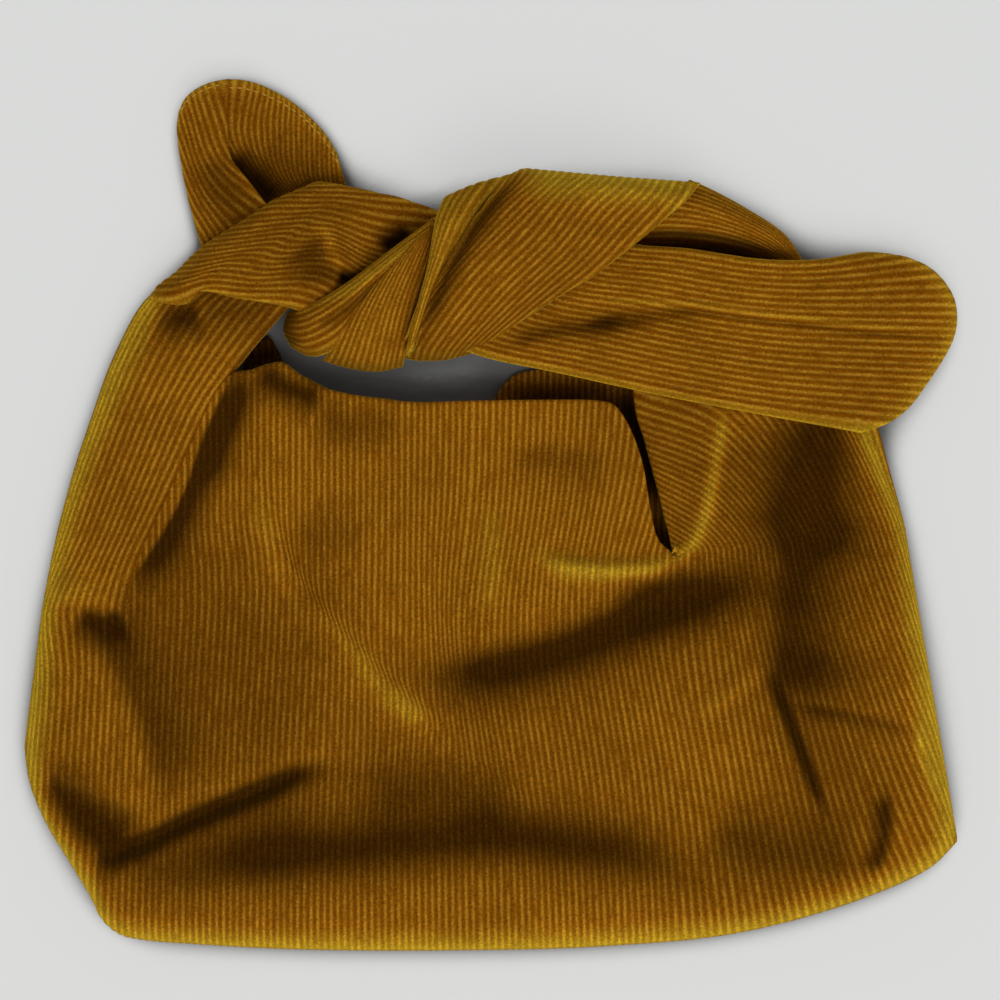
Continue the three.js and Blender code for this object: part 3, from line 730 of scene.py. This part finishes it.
def band(name, ribs, rows, sections, folds=(), profile=FLAT, tones=(0, 0, 0), hems=(1, 1), slant=0):
    """A strap of lengthwise ribs through its cross sections, with edges turned under and given a
    painted highlight, as much as the hems say. The tones are painted shade or highlight for the whole
    band and for its first and last few millimetres, and the slant is how many ribs run out at its
    sides."""
    tables = [lookup(section) for section in sections]
    crown = lookup(profile)
    numbers = rib_numbers(0, ribs)
    columns = []
    for n in numbers:
        share = n / ribs
        line = even(spline([table(share) for table in tables]), rows)
        beside = max(0, 1 - min(n, ribs - n) / HEM_RIBS)
        height, tone = folded(line[:, 0], line[:, 1], folds)
        line[:, 2] += height + crown(share)[0] - HEM * beside**2
        far = reach(line)
        tone = np.maximum(tone, DEEPEST) + tones[0]
        tone += HEM_HIGHLIGHT * beside * hems[0 if share < 0.5 else 1]
        tone += tones[1] * np.exp(-far / END_REACH) + tones[2] * np.exp((far - far[-1]) / END_REACH)
        columns.append(np.column_stack([line, tone, n + slant * far / far[-1]]))
    piece = cloth(name, columns)
    piece.data.materials.append(OUTER)
    return piece, np.array(columns)[:, :, :3]


turn, turn_grid = band(
    "left_strap_turn_cloth",
    ribs=20,
    rows=120,
    sections=TURN,
    folds=TURN_FOLDS,
    tones=(-0.16, 0.3, 0),
    hems=(1, 1.5),
    slant=4,
)
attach(turn, "handle")
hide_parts("left_strap_turn", "left_strap_turn_lining")

# Right tail: the free end of the left strap, sewn double along its middle, which comes
# out from under the broad wrap and lies over the right strap.
RIGHT_TAIL = [
    [(0, 30, 90.4, 20), (1, -18, 54.4, 16)],
    [(0, 39, 82.6, 22), (1, -3.6, 48.1, 19)],
    [(0, 60, 79.9, 23.5), (1, 21, 42.7, 20.5)],
    [(0, 81, 76.9, 22.5), (1, 51, 36.1, 21)],
    [(0, 97.5, 76.9, 18), (1, 81, 30.4, 20.5)],
    [
        (0, 111.6, 79.3, 12.5),
        (0.06, 124.5, 77.8, 11),
        (0.14, 133.2, 73.6, 10),
        (0.25, 138.9, 66.1, 9.5),
        (0.36, 140.1, 59.2, 9.5),
        (0.48, 138.9, 52.9, 10),
        (0.6, 135.6, 46.6, 11),
        (0.75, 130.5, 39.1, 12.5),
        (0.87, 125.4, 32.5, 14),
        (0.95, 119.4, 28, 15.5),
        (1, 111, 25, 16.5),
    ],
]
# The middle seam and a valley, with painted shade in them and painted highlight beside the seam.
RIGHT_TAIL_FOLDS = [
    (-0.8, -0.35, 0.8, 0.8, [(45, 62.5), (63, 61.3), (81, 58.9), (111, 55.6), (139.5, 53.5)]),
    (0.6, 0.3, 0.8, 0.8, [(21, 64.9), (45, 64), (63, 62.8), (81, 60.4), (111, 57.1), (139.5, 55)]),
    (-3.0, -0.4, 2.5, 2, [(3, 51.4), (15, 55.6), (27, 57.4), (45, 58.9)]),
    (-1.5, -0.4, 1, 2.5, [(25.5, 55.9), (33, 58.6), (48, 60.7), (64.5, 61.3)]),
]
TAIL_PROFILE = ((0, 0), (0.25, 1.2), (0.5, 0), (0.75, 1.2), (1, 0))
right_tail, right_tail_grid = band(
    "right_tail_cloth",
    ribs=24,
    rows=130,
    sections=RIGHT_TAIL,
    folds=RIGHT_TAIL_FOLDS,
    profile=TAIL_PROFILE,
    tones=(-0.05, 0, 0.6),
    hems=(1, 2),
)
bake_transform(right_tail)
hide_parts("right_tail", "right_tail_lining")

# Left tail: the free end of the right strap. It passes under the knot on the table and
# shows its rounded tip above the left strap. Its left half folds over the right one
# below the seam that joins them, so the ribs of the two meet at an angle.
TAIL_LEFT_HALF = [
    [(0, -85.5, 76.3, 4.5), (0.5, -76.5, 79.3, 6), (1, -61.8, 87.7, 7.5)],
    [(0, -87.9, 85.3, 5.5), (0.5, -79.5, 87.7, 8), (1, -66, 92.2, 9.5)],
    [(0, -90.6, 95.5, 6.5), (0.5, -84.3, 97.9, 8.5), (1, -72, 100, 9.5)],
    [(0, -92.7, 106.3, 7), (0.5, -87, 108.1, 8.5), (1, -78, 108.1, 9)],
    [(0, -93.9, 115.3, 7), (0.5, -87.9, 117.4, 8), (1, -78.9, 119.5, 8)],
    [
        (0, -93.6, 120.7, 7),
        (0.25, -91.8, 125.2, 7),
        (0.5, -88.5, 128.2, 7),
        (0.75, -84, 130.3, 7),
        (1, -78.3, 131.5, 7),
    ],
]
TAIL_RIGHT_HALF = [
    [(0, -30, 64.9, 2.8), (1, -15, 58.9, 2.8)],
    [(0, -59.4, 79.9, 2.8), (1, -36, 87.4, 3)],
    [(0, -67.2, 91.3, 2.8), (0.1, -64.2, 93.1, 3), (1, -42.3, 95.8, 4)],
    [(0, -77.4, 103.3, 3), (0.1, -74.1, 106.3, 4.2), (1, -42.9, 97.9, 5)],
    [(0, -81.3, 114.4, 4), (0.1, -78.3, 114.4, 6.6), (0.5, -61.5, 115.9, 6), (1, -43.8, 101.2, 5.5)],
    [
        (0, -81.9, 129.7, 4.2),
        (0.1, -78.6, 131.2, 6.6),
        (0.2, -72, 130.6, 7),
        (0.4, -64.5, 127.6, 6.5),
        (0.6, -57.6, 123.1, 6),
        (0.8, -50.4, 115.9, 6),
        (0.92, -46.8, 109.9, 6),
        (1, -45, 105.1, 6),
    ],
]
# Painted shade and highlight on the two halves of the tail.
LEFT_HALF_FOLDS = [
    (0, -0.45, 6, 5, [(-85.5, 109.9), (-80.4, 97.9), (-73.5, 90.4), (-68.4, 86.5)]),
    (0, 0.4, 1, 1, [(-79.2, 110.5), (-72, 100), (-64.8, 91)]),
]
RIGHT_HALF_FOLDS = [
    (-1.5, -0.8, 4, 3, [(-78.6, 110.5), (-72, 102.4), (-63, 93.1)]),
    (0, -0.3, 5, 5, [(-70.5, 109.9), (-60, 105.4), (-48, 101.5)]),
]
left_half, left_half_grid = band(
    "left_tail_left_half",
    ribs=9,
    rows=110,
    sections=TAIL_LEFT_HALF,
    folds=LEFT_HALF_FOLDS,
    tones=(-0.12, 0, 0.5),
    hems=(1, 0),
    slant=6,
)
right_half, right_half_grid = band(
    "left_tail_right_half",
    ribs=23,
    rows=110,
    sections=TAIL_RIGHT_HALF,
    folds=RIGHT_HALF_FOLDS,
    tones=(-0.16, 0, 0.5),
    hems=(0, 1),
)
for piece in (left_half, right_half):
    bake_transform(piece)
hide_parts("left_tail", "left_tail_lining")
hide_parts("knot_underpass", "knot_underpass_lining")

# Knot: the right strap wraps over the left one. From the left, a thin roll, a gathered
# fan, a narrow folded strip and the broad wrap, each lying over the one before it.
KNOT_ROLL = [
    [(0, -60.6, 61.3, 12), (0.5, -61.8, 55.9, 16), (1, -59.7, 50.8, 9)],
    [(0, -53.7, 63.4, 18), (0.5, -55.8, 55.3, 21), (1, -54.6, 48.1, 10)],
    [(0, -43.5, 69.4, 21), (0.5, -45.6, 60.7, 25), (1, -46.8, 49.9, 16)],
    [(0, -27.3, 81.4, 23), (0.5, -30.6, 73.9, 27), (1, -35.4, 67.3, 21)],
    [(0, -14.4, 90.7, 23), (0.5, -13.2, 87.1, 27), (1, -12, 82.9, 23)],
]
# Painted shade at the roll's left end and along its valley, and painted highlight along its ridge.
ROLL_FOLDS = [
    (-1.5, -0.55, 1.2, 2.5, [(-55.2, 54.4), (-42.3, 62.5), (-33.6, 70), (-24, 78.1)]),
    (0, -0.9, 3.5, 2, [(-61.8, 63.4), (-62.4, 55.9), (-58.8, 48.4)]),
    (0.8, 0.5, 1, 1, [(-50.4, 63.7), (-42, 67.3), (-37.2, 70.6), (-27, 77.8), (-16.8, 85.3)]),
]
FAN = [
    [(0, -50.4, 46.9, 8), (0.33, -42, 44.5, 8), (0.66, -33.6, 43.6, 8), (1, -26.1, 45.1, 9)],
    [(0, -48, 49.9, 15), (0.33, -40.5, 48.1, 18), (0.66, -32.4, 47.5, 20), (1, -25.2, 49.3, 20)],
    [(0, -42, 60.7, 21), (0.33, -35.4, 61.6, 25), (0.66, -28.5, 62.5, 27), (1, -21.6, 64, 27)],
    [(0, -31.5, 73.9, 24), (0.33, -27.3, 75.7, 28), (0.66, -22.8, 76.3, 29), (1, -18, 75.7, 29)],
    [(0, -24.6, 80.5, 25), (0.33, -21, 82.9, 28), (0.66, -18, 85.3, 29), (1, -15, 88.3, 29)],
]
STRIP = [
    [(0, -26.1, 47.8, 11), (0.5, -25.8, 48.1, 12), (1, -25.2, 48.4, 13)],
    [(0, -24.6, 51.4, 24), (0.5, -23.4, 52.3, 27), (1, -21.6, 54.4, 25)],
    [(0, -21.3, 64, 30), (0.5, -19.5, 64.9, 32.5), (1, -16.2, 67.3, 30)],
    [(0, -18.6, 74.5, 32), (0.5, -15.9, 75.7, 34.5), (1, -10.2, 78.1, 32)],
    [(0, -16.2, 88.3, 31), (0.5, -10.5, 89.5, 34), (1, -1.8, 91.3, 32)],
    [(0, -14.1, 94.3, 27), (0.5, -5.4, 97.9, 28), (1, 6.6, 100.9, 27)],
    [(0, -13.2, 95.5, 20), (0.5, -4.8, 99.1, 20), (1, 7.2, 102.4, 20)],
]
WRAP = [
    [
        (0, -6, 86.5, 33),
        (0.15, -15, 71.8, 31),
        (0.3, -21, 61.9, 26),
        (0.42, -26.1, 48.1, 10),
        (0.7, -15, 46.9, 10),
        (1, -4.2, 49.3, 12),
    ],
    [
        (0, -4.8, 88.3, 35),
        (0.15, -12.9, 74.8, 34),
        (0.3, -18, 66.1, 31),
        (0.42, -22.2, 53.5, 25),
        (0.7, -10.5, 51.4, 24),
        (1, 0.6, 52.6, 20),
    ],
    [
        (0, -2.4, 91.3, 36),
        (0.15, -7.2, 82, 37.5),
        (0.3, -8.4, 76.3, 38),
        (0.42, -6.6, 70.3, 37.5),
        (0.7, 6, 66.4, 34),
        (1, 17.4, 63.7, 24),
    ],
    [(0, 1.5, 96.4, 35), (0.2, 3, 91.3, 38), (0.5, 15, 83.5, 38), (1, 33, 73.3, 26)],
    [(0, 5.4, 100.9, 31), (0.5, 25.5, 94, 36), (1, 46.5, 84.1, 26)],
    [(0, 7.8, 102.7, 27), (0.5, 33, 99.1, 31), (1, 58.5, 94.3, 24.5)],
    [(0, 10.2, 103.9, 20), (0.5, 36.6, 101.5, 20), (1, 63, 99.7, 18)],
]
# Painted highlight along the wrap's top and painted shade along its left edge, where it lies over the
# strip.
WRAP_FOLDS = [
    (0, 0.8, 5, 5, [(3, 102.1), (33, 100.3), (67.5, 99.1)]),
    (0, -0.7, 2.2, 0.8, [(12, 105.4), (-0.6, 90.7), (-9, 77.5), (-15, 66.7), (-22.8, 49.9)]),
]
# Painted shade along the fan where the strip lies over it.
FAN_FOLDS = [
    (0, -0.6, 0.8, 2, [(-12.6, 99.4), (-16.2, 88.3), (-18.6, 74.5), (-21.3, 64), (-26.4, 45.4)]),
]
KNOT_ROWS = 100
# Each piece's tones are painted shade or highlight over all, at its start and at its end.
for name, ribs, slant, sections, folds, tones, nodes in (
    ("knot_roll", 8, 0, KNOT_ROLL, ROLL_FOLDS, (0, 0, 0), ()),
    ("knot_fan", 13, 0, FAN, FAN_FOLDS, (0.05, 0, 0), ("knot_lower_wrap",)),
    ("knot_strip", 6, 0, STRIP, (), (0.2, 0, 0.3), ("knot_wrap_fold",)),
    ("knot_wrap_cloth", 21, 5, WRAP, WRAP_FOLDS, (-0.14, 0, 0.4), ("knot_wrap", "knot_wrap_lining")),
):
    piece, grid = band(name, ribs, KNOT_ROWS, sections, folds, tones=tones, slant=slant)
    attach(piece, "handle")
    if nodes:
        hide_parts(*nodes)

# Right strap behind the right tail, from its turned-out edge up to where it folds over
# into the broad wrap.
SHOULDER = [
    [
        (0, 60, 100.9, 14),
        (0.2, 53.4, 94.9, 20),
        (0.39, 45, 86.5, 18),
        (0.47, 42.6, 83.5, 11),
        (1, 47.4, 45.1, 9.5),
    ],
    [
        (0, 66.6, 97.9, 14),
        (0.2, 63, 92.8, 20),
        (0.39, 58.5, 86.5, 18),
        (0.47, 57.6, 83.5, 11),
        (1, 61.2, 48.7, 9.5),
    ],
    [
        (0, 76.5, 92.5, 13),
        (0.2, 74.1, 88.9, 18),
        (0.39, 71.1, 84.7, 16),
        (0.47, 70.2, 82, 10),
        (1, 74.7, 52.3, 9.5),
    ],
    [
        (0, 88.5, 84.4, 11),
        (0.2, 86.4, 82.3, 14),
        (0.39, 84, 79.9, 12),
        (0.47, 83.4, 78.1, 9),
        (1, 92.1, 49.3, 9.5),
    ],
    [
        (0, 94.8, 75.1, 10),
        (0.2, 93, 74.5, 11),
        (0.39, 91.5, 73.3, 10),
        (0.47, 91.8, 70.9, 8.5),
        (1, 108, 45.1, 10),
    ],
]
# Painted shade in the hollow along the shoulder's fold, above the right tail.
SHOULDER_FOLDS = [(0, -0.95, 1.2, 8, [(33, 79.9), (60, 81.1), (75, 79.3), (97.5, 70.3)])]
shoulder, shoulder_grid = band(
    "right_strap_fold",
    ribs=24,
    rows=80,
    sections=SHOULDER,
    folds=SHOULDER_FOLDS,
    hems=(1.5, 0),
)
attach(shoulder, "handle")

# Topstitching: light thread, sewn by machine through all layers a little way in from the
# edge of each tail, which it holds flat.
STITCH = 2.46
BEAD = (0.85, 0.26, 0.2)
BEAD_SIDES = 6
BEAD_RINGS = 4
THREAD_DARK = (0.42, 0.2, 0.015, 1)
THREAD_LIGHT = (0.72, 0.4, 0.06, 1)
thread = bpy.data.materials.new("thread")
thread.use_nodes = True
tree = thread.node_tree
thread_shader = tree.nodes["Principled BSDF"]
place = node(tree, "ShaderNodeTexCoord").outputs["Object"]
twist = node(tree, "ShaderNodeTexNoise", {"Vector": place, "Scale": 2500.0}).outputs[0]
twisted = mixed(tree, twist, THREAD_DARK, THREAD_LIGHT)
tree.links.new(twisted, thread_shader.inputs["Base Color"])
thread_shader.inputs["Roughness"].default_value = 0.8
thread_shader.inputs["Specular IOR Level"].default_value = 0.1


def stitches(name, lines, lift):
    """A row of stitches along each line: short beads, one pitch apart, half sunk."""
    bm = bmesh.new()
    for line in lines:
        length = reach(line)[-1]
        places = even(line, max(2, round(length / STITCH)))
        for here, there in zip(places, places[1:]):
            middle = (here + there) / 2
            ahead = Vector(there - here).normalized()
            turned = ahead.to_track_quat("X", "Z").to_matrix().to_4x4()
            shape = Matrix.Diagonal((*BEAD, 1))
            moved = Matrix.Translation(middle + np.array([0, 0, lift]))
            scale = Matrix.Diagonal((MM, MM, MM, 1))
            bmesh.ops.create_uvsphere(
                bm,
                u_segments=BEAD_SIDES,
                v_segments=BEAD_RINGS,
                radius=1,
                matrix=scale @ moved @ turned @ shape,
            )
    mesh = bpy.data.meshes.new(name)
    bm.to_mesh(mesh)
    bm.free()
    mesh.materials.append(thread)
    piece = bpy.data.objects.new(name, mesh)
    bpy.context.collection.objects.link(piece)
    return piece


SEAM_STEPS = 120
SEAM_SKIP = 6


def seam(grid, path):
    """A line over a band: points given as shares across it and along it."""
    across, along = grid.shape[0] - 1, grid.shape[1] - 1
    places = even(np.array(path, float), SEAM_STEPS)
    picked = [grid[round(u * across), round(v * along)] for u, v in places]
    return spline(np.array(picked)[::SEAM_SKIP], fine=8)


tail_stitches = stitches(
    "right_tail_stitches",
    [seam(right_tail_grid, [(0.08, 0.975), (0.95, 0.975)])],
    lift=-0.02,
)
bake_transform(tail_stitches)
tip_stitches = stitches(
    "left_tail_stitches",
    [
        seam(right_half_grid, [(0.0, 0.975), (1.0, 0.975)]),
        seam(left_half_grid, [(0.1, 0.97), (1.0, 0.97)]),
    ],
    lift=0.3,
)
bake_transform(tip_stitches)

# Table: pale, plain and much larger than the view. Its glow is for the eye and not a
# light, and it fades close to the bag, where the shadows lie.
TABLE_HALF = 3.0
TABLE_HEIGHT = -0.0004
TABLE_COLOUR = (0.8, 0.81, 0.79, 1)
TABLE_SEEN_COLOUR = (0.18, 0.183, 0.178, 1)
TABLE_GLOW = 0.56
SHADOW_REACH = 0.05
SHADOW_FULL = 0.42
SHADOW_GONE = 0.74
floor_mesh = bpy.data.meshes.new("floor")
bm = bmesh.new()
bmesh.ops.create_grid(bm, x_segments=1, y_segments=1, size=TABLE_HALF)
bm.to_mesh(floor_mesh)
bm.free()
floor = bpy.data.objects.new("floor", floor_mesh)
floor.location.z = TABLE_HEIGHT
bpy.context.collection.objects.link(floor)


def eased(tree, value, start, end, first, last):
    """A value that goes smoothly from first to last as another goes from start to end."""
    inputs = {0: value, 1: start, 2: end, 3: first, 4: last}
    return node(tree, "ShaderNodeMapRange", inputs, interpolation_type="SMOOTHSTEP").outputs[0]


table = bpy.data.materials.new("table")
table.use_nodes = True
tree = table.node_tree
table_shader = tree.nodes["Principled BSDF"]
table_shader.inputs["Roughness"].default_value = 0.9
rays = node(tree, "ShaderNodeLightPath").outputs
seen = math_node(tree, "MAXIMUM", rays["Is Camera Ray"], rays["Is Glossy Ray"])
seen = math_node(tree, "MAXIMUM", seen, rays["Is Transmission Ray"])
near = {"Distance": SHADOW_REACH}
openness = node(tree, "ShaderNodeAmbientOcclusion", near, samples=32).outputs["AO"]
clear = eased(tree, openness, SHADOW_FULL, SHADOW_GONE, 0.0, TABLE_GLOW)
pale = mixed(tree, seen, TABLE_COLOUR, TABLE_SEEN_COLOUR)
tree.links.new(pale, table_shader.inputs["Base Color"])
table_shader.inputs["Emission Color"].default_value = (0.99, 1.0, 0.985, 1)
tree.links.new(math_node(tree, "MULTIPLY", clear, seen), table_shader.inputs["Emission Strength"])
floor_mesh.materials.append(table)

# Camera: straight above the bag, with a long lens. Its view is as wide as the field at
# about half the height of the bag's front.
VIEW_HEIGHT = 2.4
VIEW_CENTRE = (0.003, 0.0049)
FIELD = 0.3
FIELD_HEIGHT = 0.01
camera_data = bpy.data.cameras.new("camera")
camera_data.lens = camera_data.sensor_width * (VIEW_HEIGHT - FIELD_HEIGHT) / FIELD
camera = bpy.data.objects.new("camera", camera_data)
camera.location = (*VIEW_CENTRE, VIEW_HEIGHT)
bpy.context.collection.objects.link(camera)
bpy.context.scene.camera = camera

# Room: light from all sides, dimmer straight overhead, and a large window to the south.
ROOM_LIGHT = 0.5
OVERHEAD_LIGHT = 0.06
DIM_FROM = 0.75
DIM_FULL = 0.97
world = bpy.data.worlds.new("room")
bpy.context.scene.world = world
world.use_nodes = True
tree = world.node_tree
sky = tree.nodes["Background"]
sky.inputs["Color"].default_value = (0.95, 0.97, 1.0, 1)
direction = node(tree, "ShaderNodeTexCoord").outputs["Generated"]
upward = node(tree, "ShaderNodeSeparateXYZ", {0: direction}).outputs[2]
around = eased(tree, upward, DIM_FROM, DIM_FULL, ROOM_LIGHT, OVERHEAD_LIGHT)
tree.links.new(around, sky.inputs["Strength"])


WINDOW_PLACE = (0.25, -1.1, 1.9)
WINDOW_SIZE = 1.3
WINDOW_POWER = 25
light = bpy.data.lights.new("window", "AREA")
light.size = WINDOW_SIZE
light.energy = WINDOW_POWER
window = bpy.data.objects.new("window", light)
window.location = WINDOW_PLACE
window.rotation_euler = (-window.location).to_track_quat("-Z", "Y").to_euler()
bpy.context.collection.objects.link(window)
bpy.context.scene.view_settings.view_transform = "Standard"
